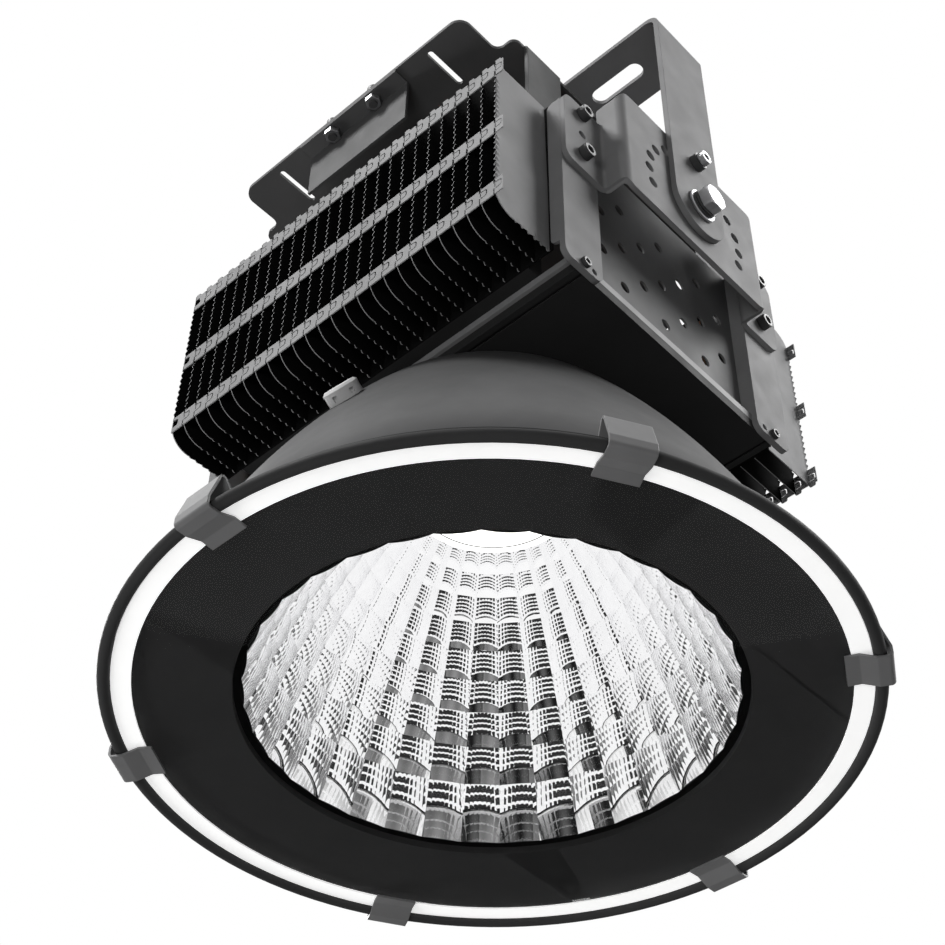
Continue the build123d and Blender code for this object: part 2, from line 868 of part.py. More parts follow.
with BuildPart() as lock_spacer:
    with BuildSketch(front(arm_out_y)):
        with Locations(lock_spots):
            Circle(lock_spacer_r)
            Circle(m6_r, mode=Mode.SUBTRACT)
    extrude(amount=lock_spacer_h)
save(pivot_pair(lock_spacer.part), "lock_spacers")

# Driver tray: slotted wings, a waist at both ends and four legs bent down
tray_top = tray_z + tray_t
leg_w = leg_out - leg_in
leg_line_y = spreader_end + tray_t / 2
tray_mid_z = tray_z + tray_t / 2
hanger_bolt_spots = [(x, y) for x in (-hanger_bolt_x, hanger_bolt_x) for y in (-hanger_bolt_y, hanger_bolt_y)]
with BuildPart() as driver_tray:
    with BuildSketch(Plane.XY.offset(tray_z)) as tray_sheet:
        RectangleRounded(2 * tray_half_w, 2 * tray_wing_half, tray_corner_r)
        Rectangle(2 * tray_neck_half_w, spreader_depth)
        fillet(tray_sheet.vertices().filter_by(lambda v: abs(v.X) < tray_half_w - tray_corner_r), tray_neck_r)
    extrude(amount=tray_t)
    for side in (-1, 1):
        with BuildSketch(Plane.YZ.offset(side * (leg_in + leg_w / 2) - leg_w / 2)):
            with BuildLine() as leg_line:
                FilletPolyline(
                    (-leg_line_y, leg_bottom),
                    (-leg_line_y, tray_mid_z),
                    (leg_line_y, tray_mid_z),
                    (leg_line_y, leg_bottom),
                    radius=leg_bend,
                )
            trace(leg_line.line, line_width=tray_t)
        extrude(amount=leg_w)
    with BuildSketch(front(spreader_end + tray_t)):
        with Locations(both_sides(tray_screw_spots)):
            Circle(m6_r + screw_hole_gap)
    extrude(amount=-spreader_depth - 2 * tray_t, mode=Mode.SUBTRACT)
    with BuildSketch(Plane.XY.offset(tray_top)):
        with GridLocations(2 * long_slot_x, 2 * long_slot_y, 2, 2):
            SlotOverall(long_slot_l, long_slot_w)
        with GridLocations(2 * short_slot_x, 2 * short_slot_y, 2, 2):
            SlotOverall(short_slot_l, long_slot_w)
        with GridLocations(2 * oval_x, 0, 2, 1):
            SlotOverall(oval_l, oval_w)
        with Locations(hanger_bolt_spots):
            Circle(m6_r + screw_hole_gap)
    extrude(amount=-tray_t, mode=Mode.SUBTRACT)
save(driver_tray.part, "driver_tray")

# Screws through the tray's legs into the spreaders
tray_screw_set = cap_screws(both_sides(tray_screw_spots), spreader_end + tray_t, tray_t + tray_screw_depth)
save(pivot_pair(tray_screw_set), "tray_screws")

# Hanger brackets: angles under the tray's wings
hanger_z = tray_z - hanger_t
with BuildPart() as hanger_bracket_left:
    with BuildSketch(front(-hanger_half_l)):
        with BuildLine() as hanger_line:
            FilletPolyline(
                (-hanger_in - hanger_t / 2, tray_z - hanger_drop),
                (-hanger_in - hanger_t / 2, tray_z - hanger_t / 2),
                (-tray_half_w, tray_z - hanger_t / 2),
                radius=hanger_bend,
            )
        trace(hanger_line.line, line_width=hanger_t)
    extrude(amount=2 * hanger_half_l)
    with BuildSketch(Plane.XY.offset(tray_z)):
        with Locations((-hanger_bolt_x, -hanger_bolt_y), (-hanger_bolt_x, hanger_bolt_y)):
            Circle(m6_r + screw_hole_gap)
    extrude(amount=-hanger_t, mode=Mode.SUBTRACT)
save(hanger_bracket_left.part, "hanger_bracket_left")

with BuildPart() as hanger_bracket_right:
    mirror(hanger_bracket_left.part, about=Plane.YZ)
save(hanger_bracket_right.part, "hanger_bracket_right")

# Hanger bolts and nuts
hanger_tip_z = hanger_z - hanger_nut_h - hanger_thread_out
with BuildPart() as hanger_bolts:
    with BuildSketch(Plane.XY.offset(tray_top)):
        with Locations(hanger_bolt_spots):
            Circle(cap_head_r)
    extrude(amount=cap_head_h)
    with BuildSketch(Plane.XY.offset(tray_top + cap_head_h)):
        with Locations(hanger_bolt_spots):
            RegularPolygon(socket_af / 2, 6, major_radius=False)
    extrude(amount=-socket_d, mode=Mode.SUBTRACT)
    with BuildSketch(Plane.XY.offset(tray_top)):
        with Locations(hanger_bolt_spots):
            Circle(m6_r)
    extrude(amount=hanger_tip_z - tray_top)
save(hanger_bolts.part, "hanger_bolts")

with BuildPart() as hanger_nuts:
    with BuildSketch(Plane.XY.offset(hanger_z)):
        with Locations(hanger_bolt_spots):
            RegularPolygon(hanger_nut_af / 2, 6, major_radius=False, rotation=30)
            Circle(m6_r, mode=Mode.SUBTRACT)
    extrude(amount=-hanger_nut_h)
save(hanger_nuts.part, "hanger_nuts")
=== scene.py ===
import math

import bpy
from mathutils import Matrix, Vector


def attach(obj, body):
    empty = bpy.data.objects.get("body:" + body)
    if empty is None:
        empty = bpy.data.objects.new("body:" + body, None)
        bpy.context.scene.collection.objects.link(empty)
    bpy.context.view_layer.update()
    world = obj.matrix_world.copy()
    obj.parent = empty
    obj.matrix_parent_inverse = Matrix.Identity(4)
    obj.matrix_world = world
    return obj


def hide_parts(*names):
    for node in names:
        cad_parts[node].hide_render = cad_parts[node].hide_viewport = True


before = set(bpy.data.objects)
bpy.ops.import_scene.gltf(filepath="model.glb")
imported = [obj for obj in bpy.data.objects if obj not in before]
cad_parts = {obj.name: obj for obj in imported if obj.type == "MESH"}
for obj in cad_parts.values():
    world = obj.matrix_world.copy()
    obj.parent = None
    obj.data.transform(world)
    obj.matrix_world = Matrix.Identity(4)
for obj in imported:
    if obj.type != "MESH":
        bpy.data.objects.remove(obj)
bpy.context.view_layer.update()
MM = 0.001
LAMP = "lamp"
YOKE = "yoke_body"

# Camera
CAMERA_PLACE = (-597.92, -545.03, -619.59)
CAMERA_YAW = 46.74
CAMERA_PITCH = 45.27
CAMERA_ROLL = 0.91
FOCAL_PIXELS = 1815.2
FRAME_PIXELS = 945.0
SENSOR = 36.0


def look(yaw, pitch, roll):
    """The camera's turn: yaw from +Y towards +X, pitch upwards, roll about the line of sight."""
    forward = Vector((math.sin(yaw) * math.cos(pitch), math.cos(yaw) * math.cos(pitch), math.sin(pitch)))
    right = Vector((math.cos(yaw), -math.sin(yaw), 0))
    up = right.cross(forward)
    turned_right = right * math.cos(roll) + up * math.sin(roll)
    turned_up = up * math.cos(roll) - right * math.sin(roll)
    matrix = Matrix((turned_right, turned_up, -forward)).transposed()
    return matrix.to_4x4()


camera_data = bpy.data.cameras.new("view")
camera_data.sensor_width = SENSOR
camera_data.lens = SENSOR * FOCAL_PIXELS / FRAME_PIXELS
camera_data.clip_start = 0.01
camera_data.clip_end = 60.0
camera = bpy.data.objects.new("view", camera_data)
camera.matrix_world = Matrix.Translation(Vector(CAMERA_PLACE) * MM) @ look(
    math.radians(CAMERA_YAW), math.radians(CAMERA_PITCH), math.radians(CAMERA_ROLL)
)
bpy.context.scene.collection.objects.link(camera)
bpy.context.scene.camera = camera
bpy.context.scene.view_settings.view_transform = "Standard"

# Materials
# How far the painted shade of a shade band reaches, and its colour.
SHADE_SHARE = 0.7
SHADE_VALUE = 0.012
GLASS_CLEAREST = 0.001
GLASS_EDGE_ON = 0.9
GLASS_POWER = 5.0
HOLDER_JOINT_RADIUS = 0.0506
HOLDER_JOINT_HALF = (0.0003, 0.0005)


class Nodes:
    """A short way to write a node tree: one material, its shader and its output."""

    def __init__(self, name):
        self.material = bpy.data.materials.new(name)
        self.material.use_nodes = True
        self.tree = self.material.node_tree
        self.tree.nodes.clear()
        self.out = self.add("ShaderNodeOutputMaterial")
        self.shader = self.add("ShaderNodeBsdfPrincipled")
        self.link(self.shader.outputs[0], self.out.inputs[0])
        self.coords = self.add("ShaderNodeTexCoord").outputs["Object"]

    def add(self, kind, **values):
        node = self.tree.nodes.new(kind)
        for key, value in values.items():
            setattr(node, key, value)
        return node

    def link(self, source, target):
        self.tree.links.new(source, target)

    def noise(self, scale, detail=3.0, rough=0.55, vector=None):
        node = self.add("ShaderNodeTexNoise")
        node.inputs["Scale"].default_value = scale
        node.inputs["Detail"].default_value = detail
        node.inputs["Roughness"].default_value = rough
        self.link(vector or self.coords, node.inputs["Vector"])
        return node.outputs["Fac"]

    def ramp(self, fac, stops):
        node = self.add("ShaderNodeValToRGB")
        elements = node.color_ramp.elements
        while len(elements) < len(stops):
            elements.new(0.5)
        for element, (place, colour) in zip(elements, stops):
            element.position = place
            element.color = (*colour, 1.0) if len(colour) == 3 else colour
        self.link(fac, node.inputs["Fac"])
        return node.outputs["Color"]

    def remap(self, fac, low, high, to_low, to_high):
        node = self.add("ShaderNodeMapRange")
        node.inputs["From Min"].default_value = low
        node.inputs["From Max"].default_value = high
        node.inputs["To Min"].default_value = to_low
        node.inputs["To Max"].default_value = to_high
        self.link(fac, node.inputs["Value"])
        return node.outputs["Result"]

    def mix(self, fac, first, second):
        node = self.add("ShaderNodeMix", data_type="RGBA")
        for socket, value in ((node.inputs[0], fac), (node.inputs[6], first), (node.inputs[7], second)):
            if isinstance(value, (float, int)):
                socket.default_value = value
            elif isinstance(value, tuple):
                socket.default_value = (*value, 1.0)
            else:
                self.link(value, socket)
        return node.outputs[2]

    def bump(self, height, strength, distance, normal=None):
        node = self.add("ShaderNodeBump")
        node.inputs["Strength"].default_value = strength
        node.inputs["Distance"].default_value = distance
        self.link(height, node.inputs["Height"])
        if normal is not None:
            self.link(normal, node.inputs["Normal"])
        return node.outputs["Normal"]

    def bevel(self, radius):
        node = self.add("ShaderNodeBevel", samples=4)
        node.inputs["Radius"].default_value = radius
        return node.outputs["Normal"]

    def set(self, **values):
        for key, value in values.items():
            socket = self.shader.inputs[key.replace("_", " ")]
            if isinstance(value, tuple):
                value = (*value, 1.0)
            if isinstance(value, (float, int)) or isinstance(value, tuple):
                socket.default_value = value
            else:
                self.link(value, socket)


def grey(value):
    return (value, value, value * 1.01)


def coated(name, value, rough, level, grain=900.0, depth=0.00006, spread=0.12, edge=0.0005, shade_bands=()):
    """Powder-coated or anodised metal: faint mottling, an orange-peel grain and softened edges.
    A shade band paints shade into the coat: it gives the height where the painted shade starts and the
    height where it is darkest."""
    n = Nodes(name)
    mottle = n.noise(18.0, 4.0)
    fine = n.noise(grain, 2.0)
    colour = n.ramp(mottle, [(0.3, grey(value * (1 - spread))), (0.7, grey(value * (1 + spread)))])
    # Each band darkens the coat with painted shade between two heights.
    for shade_start_z, shade_full_z in shade_bands:
        place = n.add("ShaderNodeSeparateXYZ")
        n.link(n.coords, place.inputs[0])
        share = n.remap(place.outputs["Z"], shade_start_z, shade_full_z, 0.0, SHADE_SHARE)
        colour = n.mix(share, colour, grey(SHADE_VALUE))
    worn = n.remap(n.noise(60.0, 5.0, 0.6), 0.3, 0.75, rough - 0.05, rough + 0.07)
    normal = n.bump(fine, 0.35, depth, n.bevel(edge) if edge else None)
    n.set(Base_Color=colour, Roughness=worn, Metallic=0.0, Specular_IOR_Level=level, Normal=normal)
    return n.material


def bare(name, colour, rough, streaks=350.0):
    """Bright zinc or aluminium with fine brushing."""
    n = Nodes(name)
    stretch = n.add("ShaderNodeMapping")
    stretch.inputs["Scale"].default_value = (1.0, 0.15, 1.0)
    n.link(n.coords, stretch.inputs["Vector"])
    lines = n.noise(streaks, 4.0, 0.6, stretch.outputs["Vector"])
    tone = n.ramp(lines, [(0.25, tuple(c * 0.78 for c in colour)), (0.75, colour)])
    roughness = n.remap(lines, 0.2, 0.8, rough - 0.06, rough + 0.08)
    normal = n.bump(lines, 0.25, 0.00008, n.bevel(0.0004))
    n.set(Base_Color=tone, Roughness=roughness, Metallic=1.0, Normal=normal)
    return n.material


side_metal = coated("side_coat", value=0.18, rough=0.6, level=0.06)
yoke_metal = coated("yoke_coat", value=0.165, rough=0.6, level=0.06)
fin_metal = coated("fin_coat", value=0.24, rough=0.65, level=0.06, grain=1400.0, edge=0.0)
# Near-black painted shade for the faces, wave flanks and feet between the fin sheets.
fin_painted_shade = coated("fin_painted_shade", value=0.006, rough=0.8, level=0.01, grain=1400.0, edge=0.0)
# The hood's coat gets painted shade towards the crown, under the plate's overhang, and towards the rim by
# the bead.
hood_metal = coated(
    "hood_coat", value=0.105, rough=0.6, level=0.05, grain=700.0, shade_bands=((0.065, 0.165), (0.06, 0.022))
)
clip_metal = coated("clip_coat", value=0.155, rough=0.45, level=0.3)
# Near-black painted shade for the downward faces of the LED plate and the spreaders; the base plate keeps
# the lit edge_coat.
plate_shade_metal = coated("plate_coat_painted_shade", value=0.024, rough=0.6, level=0.04)
edge_metal = coated("edge_coat", value=0.2, rough=0.55, level=0.1)
tray_metal = coated("tray_coat", value=0.07, rough=0.55, level=0.06)
grille_metal = coated("grille_coat", value=0.115, rough=0.6, level=0.06)
mask_paint = coated(
    "mask_coat", value=0.03, rough=0.6, level=0.04, grain=500.0, depth=0.00001, spread=0.06, edge=0.0
)
# Near-black painted shade for the ring round the bowl's mouth, where the gap to the mask lies in shade.
collar_shade_paint = coated("collar_painted_shade", value=0.004, rough=0.8, level=0.02, edge=0.0)
black_steel = coated("black_steel", value=0.035, rough=0.45, level=0.3, edge=0.0003)
bright_zinc = bare("bright_zinc", colour=(0.42, 0.42, 0.43), rough=0.4)
copper = bare("copper_pipe", colour=(0.62, 0.34, 0.22), rough=0.3)


def glass_material():
    """Clear glass: it mirrors little face on and much edge on, from its outer side only."""
    n = Nodes("clear_glass")
    clear = n.add("ShaderNodeBsdfTransparent")
    gloss = n.add("ShaderNodeBsdfGlossy")
    n.link(n.remap(n.noise(25.0, 3.0), 0.3, 0.7, 0.01, 0.04), gloss.inputs["Roughness"])
    facing = n.add("ShaderNodeLayerWeight").outputs["Facing"]
    steep = n.add("ShaderNodeMath", operation="POWER")
    n.link(facing, steep.inputs[0])
    steep.inputs[1].default_value = GLASS_POWER
    outside = n.add("ShaderNodeMath", operation="SUBTRACT")
    outside.inputs[0].default_value = 1.0
    n.link(n.add("ShaderNodeNewGeometry").outputs["Backfacing"], outside.inputs[1])
    share = n.add("ShaderNodeMath", operation="MULTIPLY")
    n.link(n.remap(steep.outputs[0], 0.0, 1.0, GLASS_CLEAREST, GLASS_EDGE_ON), share.inputs[0])
    n.link(outside.outputs[0], share.inputs[1])
    mix = n.add("ShaderNodeMixShader")
    n.link(share.outputs[0], mix.inputs[0])
    n.link(clear.outputs[0], mix.inputs[1])
    n.link(gloss.outputs[0], mix.inputs[2])
    n.link(mix.outputs[0], n.out.inputs[0])
    n.tree.nodes.remove(n.shader)
    return n.material


def silicone_material():
    """Milky silicone with a painted glow: it emits light though it is no lamp, so it stays white where it
    faces away from the lamps.
    """
    n = Nodes("white_silicone")
    tone = n.ramp(n.noise(90.0, 3.0), [(0.3, (0.86, 0.86, 0.85)), (0.7, (0.93, 0.93, 0.92))])
    normal = n.bump(n.noise(600.0, 2.0), 0.2, 0.0001)
    n.set(Base_Color=tone, Roughness=0.55, Normal=normal)
    # Painted light: the silicone glows at half strength.
    n.set(Emission_Color=(1.0, 1.0, 1.0), Emission_Strength=0.5)
    return n.material


def mirror_material():
    """Bright anodised aluminium, almost a mirror."""
    n = Nodes("bright_bowl")
    tone = n.ramp(n.noise(40.0, 4.0), [(0.3, (0.93, 0.93, 0.935)), (0.7, (0.975, 0.975, 0.98))])
    smear = n.remap(n.noise(160.0, 4.0), 0.3, 0.8, 0.0, 0.008)
    normal = n.bump(n.noise(420.0, 3.0, 0.6), 0.3, 0.00001)
    n.set(Base_Color=tone, Roughness=smear, Metallic=1.0, Normal=normal)
    return n.material


def plain(name, colour, rough, emission=0.0, grain=300.0):
    """Moulded plastic, phosphor or a coated board with a fine grain."""
    n = Nodes(name)
    tone = n.ramp(n.noise(70.0, 3.0), [(0.3, tuple(c * 0.93 for c in colour)), (0.7, colour)])
    normal = n.bump(n.noise(grain, 2.0), 0.2, 0.0001)
    n.set(Base_Color=tone, Roughness=rough, Normal=normal)
    if emission:
        n.set(Emission_Color=(1.0, 0.99, 0.96), Emission_Strength=emission)
    return n.material


def holder_material():
    """White plastic with a fine dark joint round the light source, and a painted glow: the plastic emits
    light though it is no lamp.
    """
    n = Nodes("white_holder")
    flat = n.add("ShaderNodeVectorMath", operation="MULTIPLY")
    flat.inputs[1].default_value = (1.0, 1.0, 0.0)
    n.link(n.coords, flat.inputs[0])
    radius = n.add("ShaderNodeVectorMath", operation="LENGTH")
    n.link(flat.outputs[0], radius.inputs[0])
    offset = n.add("ShaderNodeMath", operation="SUBTRACT")
    n.link(radius.outputs["Value"], offset.inputs[0])
    offset.inputs[1].default_value = HOLDER_JOINT_RADIUS
    away = n.add("ShaderNodeMath", operation="ABSOLUTE")
    n.link(offset.outputs[0], away.inputs[0])
    joint = n.remap(away.outputs[0], *HOLDER_JOINT_HALF, 1.0, 0.0)
    tone = n.mix(joint, (0.9, 0.9, 0.89), (0.03, 0.03, 0.03))
    # Painted glow on the white plastic, none on the dark joint.
    glow = n.mix(joint, (1.0, 1.0, 0.99), (0.0, 0.0, 0.0))
    normal = n.bump(n.noise(300.0, 2.0), 0.2, 0.0001)
    n.set(Base_Color=tone, Roughness=0.45, Emission_Color=glow, Emission_Strength=1.0, Normal=normal)
    return n.material


glass = glass_material()
silicone = silicone_material()
mirror = mirror_material()
white_plastic = holder_material()
led_phosphor = plain("led_phosphor", colour=(0.95, 0.93, 0.8), rough=0.5, emission=5.0)
# Painted glow: the board emits light though it is no lamp.
board_painted_glow = plain("board_painted_glow", colour=(0.8, 0.8, 0.78), rough=0.4, emission=0.8)
vent_plastic = plain("vent_plastic", colour=(0.48, 0.48, 0.48), rough=0.5)

node_materials = {
    "front_glass": glass,
    "seal_ring": silicone,
    "mask_ring": mask_paint,
    "reflector": mirror,
    "hood": hood_metal,
    "vent_plug": vent_plastic,
    "led_board": board_painted_glow,
    "led_emitter": led_phosphor,
    "led_holder": white_plastic,
    "hood_screws": bright_zinc,
    "led_plate": plate_shade_metal,
    "base_plate": edge_metal,
    "spreader": plate_shade_metal,
    "heat_pipe": copper,
    "fin_stack": fin_metal,
    "channel_front": side_metal,
    "channel_rear": side_metal,
    "channel_screws": black_steel,
    "grille": grille_metal,
    "bridge": side_metal,
    "ear_screws": black_steel,
    "yoke": yoke_metal,
    "pivot_bolts": bright_zinc,
    "pivot_nuts": bright_zinc,
    "pivot_washers": bright_zinc,
    "pivot_spring_washers": black_steel,
    "lock_screws": bright_zinc,
    "lock_spacers": black_steel,
    "driver_tray": tray_metal,
    "tray_screws": black_steel,
    "hanger_bracket": tray_metal,
    "hanger_bolts": black_steel,
    "hanger_nuts": bright_zinc,
    "rim_clip": clip_metal,
}


def material_for(name):
    """The material of the longest entry that the node's name starts with."""
    fits = [key for key in node_materials if name.startswith(key)]
    return node_materials[max(fits, key=len)]


for name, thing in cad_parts.items():
    for slot in thing.material_slots:
        slot.material = material_for(name)


def mesh_piece(name, verts, faces, material, body, smooth=False, replaces=None):
    """A visible piece from points in millimetres, riding on a body in place of a node."""
    mesh = bpy.data.meshes.new(name)
    mesh.from_pydata([tuple(c * MM for c in v) for v in verts], [], faces)
    mesh.update()
    piece = bpy.data.objects.new(name, mesh)
    bpy.context.scene.collection.objects.link(piece)
    mesh.materials.append(material)
    if smooth:
        for face in mesh.polygons:
            face.use_smooth = True
    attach(piece, body)
    if replaces:
        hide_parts(replaces)
    return piece


# Zipper fins
FIN_PITCH = 11.06
FIN_COUNT = 26
FIN_T = 0.6
FIN_IN = 104.0
FIN_OUT = 151.0
FIN_LOW = 204.1
FIN_TOP = 348.5
FIN_CORNER = 15.0
CORNER_STEPS = 10
TAB_H = 13.0
TAB_LOWS = (334.0, 273.0, 213.0)
TAB_T = 0.7
LAST_TAB_REACH = 6.2
TONGUE_LOW = 5.0
TONGUE_HIGH = 9.9
GAP = 0.85
WAVE = 5.4
WAVE_STEPS = 8
WAVE_SIDE = 0.7
WAVE_LOW = 0.4
WAVE_OVERTONE = 0.3
WAVE_FADE = 2.5
WAVE_LAYERS = ((0.0, 1.0), (1.6, 0.45), (3.6, 0.0))
SHADE_FROM = -0.1
FOOT_T = 0.8
FOOT_PAST = 2.6


def fin_edge():
    """The fin's free edge from the top inner corner round to the bottom inner one.
    Each entry: x, z, inward direction, ripple size."""
    points = []
    step = WAVE / WAVE_STEPS

    def ripple(place, low, high, size):
        fade = min(place - low, high - place) / WAVE_FADE
        return size * max(0.0, min(1.0, fade))

    bands = [(low, low + TAB_H) for low in TAB_LOWS]
    gaps = [(bands[1][1], bands[0][0]), (bands[2][1], bands[1][0])]
    count = int((FIN_OUT - FIN_IN - 4) / step)
    for i in range(count):
        x = FIN_IN + 2 + (FIN_OUT - FIN_IN - 4) * i / count
        points.append((-x, FIN_TOP, (0, -1), 0.0))
    bottom = FIN_LOW + FIN_CORNER
    side = int((FIN_TOP - bottom) / step)
    for i in range(side):
        z = FIN_TOP - (FIN_TOP - bottom) * i / side
        size = 0.0
        for low, high in gaps:
            if low < z < high:
                size = ripple(z, low, high, WAVE_SIDE)
        points.append((-FIN_OUT, z, (1, 0), size))
    for i in range(CORNER_STEPS):
        turn = math.pi / 2 * i / CORNER_STEPS
        inward = (math.cos(turn), math.sin(turn))
        x = -FIN_OUT + FIN_CORNER - FIN_CORNER * inward[0]
        points.append((x, bottom - FIN_CORNER * inward[1], inward, 0.0))
    low_run = FIN_OUT - FIN_CORNER - FIN_IN
    count = int(low_run / step)
    for i in range(count + 1):
        x = FIN_OUT - FIN_CORNER - low_run * i / count
        points.append((-x, FIN_LOW, (0, 1), ripple(x, FIN_IN - 4, FIN_OUT - FIN_CORNER, WAVE_LOW)))
    return points


def edge_waves(edge):
    """How far the wave moves each edge point along Y, and whether its flank lies in shade and so gets
    painted shade.
    """
    waves = []
    shaded = []
    run = 0.0
    for i, (x, z, _, size) in enumerate(edge):
        if i:
            run += math.hypot(x - edge[i - 1][0], z - edge[i - 1][1])
        turn = 2 * math.pi * run / WAVE
        waves.append(size * (math.sin(turn) + WAVE_OVERTONE * math.sin(2 * turn)))
        shaded.append(size > 0 and math.cos(turn) < SHADE_FROM)
    return waves, shaded


def fin_mesh(verts, faces, dark, y, front):
    """One sheet with a wavy free edge. Its flat sides get painted shade, apart from the front sheet's front.
    """
    edge = fin_edge()
    waves, shaded = edge_waves(edge)
    rings = []
    for side in (-1, 1):
        for depth, share in WAVE_LAYERS:
            start = len(verts)
            for (x, z, inward, _), wave in zip(edge, waves):
                inner_x = min(x + inward[0] * depth, -FIN_IN)
                inner_z = z + inward[1] * depth
                verts.append((inner_x, y + wave * share + side * FIN_T / 2, inner_z))
            rings.append(start)
    count = len(edge)

    def strip(a, b, flip):
        for i in range(count - 1):
            quad = (a + i, a + i + 1, b + i + 1, b + i)
            faces.append(quad[::-1] if flip else quad)

    # dark gathers the faces that get painted shade: the shaded wave flanks and the flat sides between the
    # sheets.
    dark.extend(len(faces) + i for i in range(count - 1) if shaded[i])
    strip(rings[0], rings[3], True)
    rear_side = len(faces)
    strip(rings[3], rings[4], True)
    strip(rings[4], rings[5], True)
    faces.append(tuple(rings[5] + count - 1 - i for i in range(count)))
    front_side = len(faces)
    strip(rings[0], rings[1], False)
    strip(rings[1], rings[2], False)
    faces.append(tuple(rings[2] + i for i in range(count)))
    dark.extend(range(rear_side, front_side if front else len(faces)))


def tab_outline(hump, last):
    """The tab's outline: u runs to the front from the fin, v up from the band's lower edge."""
    reach = FIN_PITCH - GAP
    tongue = [
        (reach, TONGUE_LOW),
        (FIN_PITCH + 3.8, 5.2),
        (FIN_PITCH + 4.6, 5.9),
        (FIN_PITCH + 4.6, 8.9),
        (FIN_PITCH + 3.9, 9.5),
        (reach, TONGUE_HIGH),
    ]
    if last:
        reach = LAST_TAB_REACH
        tongue = []
    top = [(reach, TAB_H), (4.6, TAB_H), (0.0, TAB_H)]
    if hump:
        top = [(reach, TAB_H), (4.8, TAB_H), (4.6, 14.6), (3.9, 15.3), (0.8, 15.4), (0.0, 14.8)]
    slot = [
        (0.0, TONGUE_HIGH + GAP),
        (3.9 + GAP / 2, 9.5 + GAP),
        (4.6 + GAP, 8.9 + GAP / 2),
        (4.6 + GAP, 5.9 - GAP / 2),
        (3.8 + GAP / 2, 5.2 - GAP),
        (0.0, TONGUE_LOW - GAP),
    ]
    return [(0.0, 0.0), (reach, 0.0)] + tongue + top + slot


def add_tab(verts, faces, y, low, hump, last):
    """One folded tab, flat on the stack's outer face."""
    outline = tab_outline(hump, last)
    start = len(verts)
    for x in (-FIN_OUT, -FIN_OUT + TAB_T):
        for u, v in outline:
            verts.append((x, y + FIN_T / 2 - u, low + v))
    count = len(outline)
    faces.append(tuple(start + i for i in range(count)))
    faces.append(tuple(start + 2 * count - 1 - i for i in range(count)))
    for i in range(count):
        j = (i + 1) % count
        faces.append((start + j, start + i, start + count + i, start + count + j))


def fin_stack():
    """The left stack: every sheet with its three tabs, and the feet as one thin plate."""
    verts, faces, dark = [], [], []
    first = -(FIN_COUNT - 1) / 2 * FIN_PITCH
    for number in range(FIN_COUNT):
        y = first + number * FIN_PITCH
        fin_mesh(verts, faces, dark, y, number == 0)
        for place, low in enumerate(TAB_LOWS):
            add_tab(verts, faces, y, low, place == 0, number == 0)
    depth = -first + FOOT_PAST
    start = len(verts)
    for x in (-FIN_IN - FOOT_T, -FIN_IN):
        for y in (-depth, depth):
            for z in (FIN_LOW, FIN_TOP):
                verts.append((x, y, z))
    a, b, c, d, e, f, g, h = range(start, start + 8)
    # The feet plate between the sheets gets painted shade too.
    dark.extend(range(len(faces), len(faces) + 6))
    faces.extend([(a, b, d, c), (e, g, h, f), (a, e, f, b), (c, d, h, g), (a, c, g, e), (b, f, h, d)])
    return verts, faces, dark


stack_verts, stack_faces, painted_shade_faces = fin_stack()
left_fins = mesh_piece(
    "fins_left", stack_verts, stack_faces, fin_metal, LAMP, replaces="fin_stack_left"
)
middle = (FIN_LOW + FIN_TOP) / 2
turned = [(-x, y, 2 * middle - z) for x, y, z in stack_verts]
right_fins = mesh_piece(
    "fins_right", turned, stack_faces, fin_metal, LAMP, replaces="fin_stack_right"
)
# The listed faces get the second slot, the near-black painted shade.
for stack in (left_fins, right_fins):
    stack.data.materials.append(fin_painted_shade)
    for number in painted_shade_faces:
        stack.data.polygons[number].material_index = 1


# Reflector
COLUMNS = 36
ROWS = 9
MOUTH = 140.5
APEX = 55.0
MOUTH_Z = 14.5
DEPTH = 164.0
FIRST_ROW = 12.9
GRID = 10
SKIN = 0.15
SWELL_ACROSS = 0.045
SWELL_ALONG = 0.03
COLLAR_STEPS = 144
COLLAR_IN = 140.45
COLLAR_OUT = 145.0


def bowl_z(radius):
    """The parabola's height at a radius."""
    return MOUTH_Z + DEPTH - (radius**2 - APEX**2) / ((MOUTH**2 - APEX**2) / DEPTH)


def facet_point(low, high, column, across, along):
    """A point of the facet between two radii: its flat face, lifted inwards by the swell."""
    climb = bowl_z(high) - bowl_z(low)
    radius = low + (high - low) * along
    height = bowl_z(low) + climb * along
    first = math.radians(column * 360 / COLUMNS)
    second = math.radians((column + 1) * 360 / COLUMNS)
    x = radius * (math.cos(first) * (1 - across) + math.cos(second) * across)
    y = radius * (math.sin(first) * (1 - across) + math.sin(second) * across)
    middle_turn = (first + second) / 2
    inward = Vector((-math.cos(middle_turn) * climb, -math.sin(middle_turn) * climb, high - low))
    inward.normalize()
    width = 2 * radius * math.sin(math.pi / COLUMNS)
    run = math.hypot(low - high, climb)
    rise = SKIN + SWELL_ACROSS * width * (1 - (2 * across - 1) ** 2)
    rise += SWELL_ALONG * run * (1 - (2 * along - 1) ** 2)
    return (x + inward.x * rise, y + inward.y * rise, height + inward.z * rise)


def bowl():
    """Every facet bulges inwards along both of its directions, and meets its neighbours at its edges."""
    step = (MOUTH - FIRST_ROW - APEX) / (ROWS - 1)
    radii = [MOUTH] + [MOUTH - FIRST_ROW - step * i for i in range(ROWS)]
    verts, faces = [], []
    for low, high in zip(radii, radii[1:]):
        for column in range(COLUMNS):
            start = len(verts)
            for i in range(GRID + 1):
                for j in range(GRID + 1):
                    verts.append(facet_point(low, high, column, i / GRID, j / GRID))
            for i in range(GRID):
                for j in range(GRID):
                    p = start + i * (GRID + 1) + j
                    faces.append((p, p + 1, p + GRID + 2, p + GRID + 1))
    return verts, faces


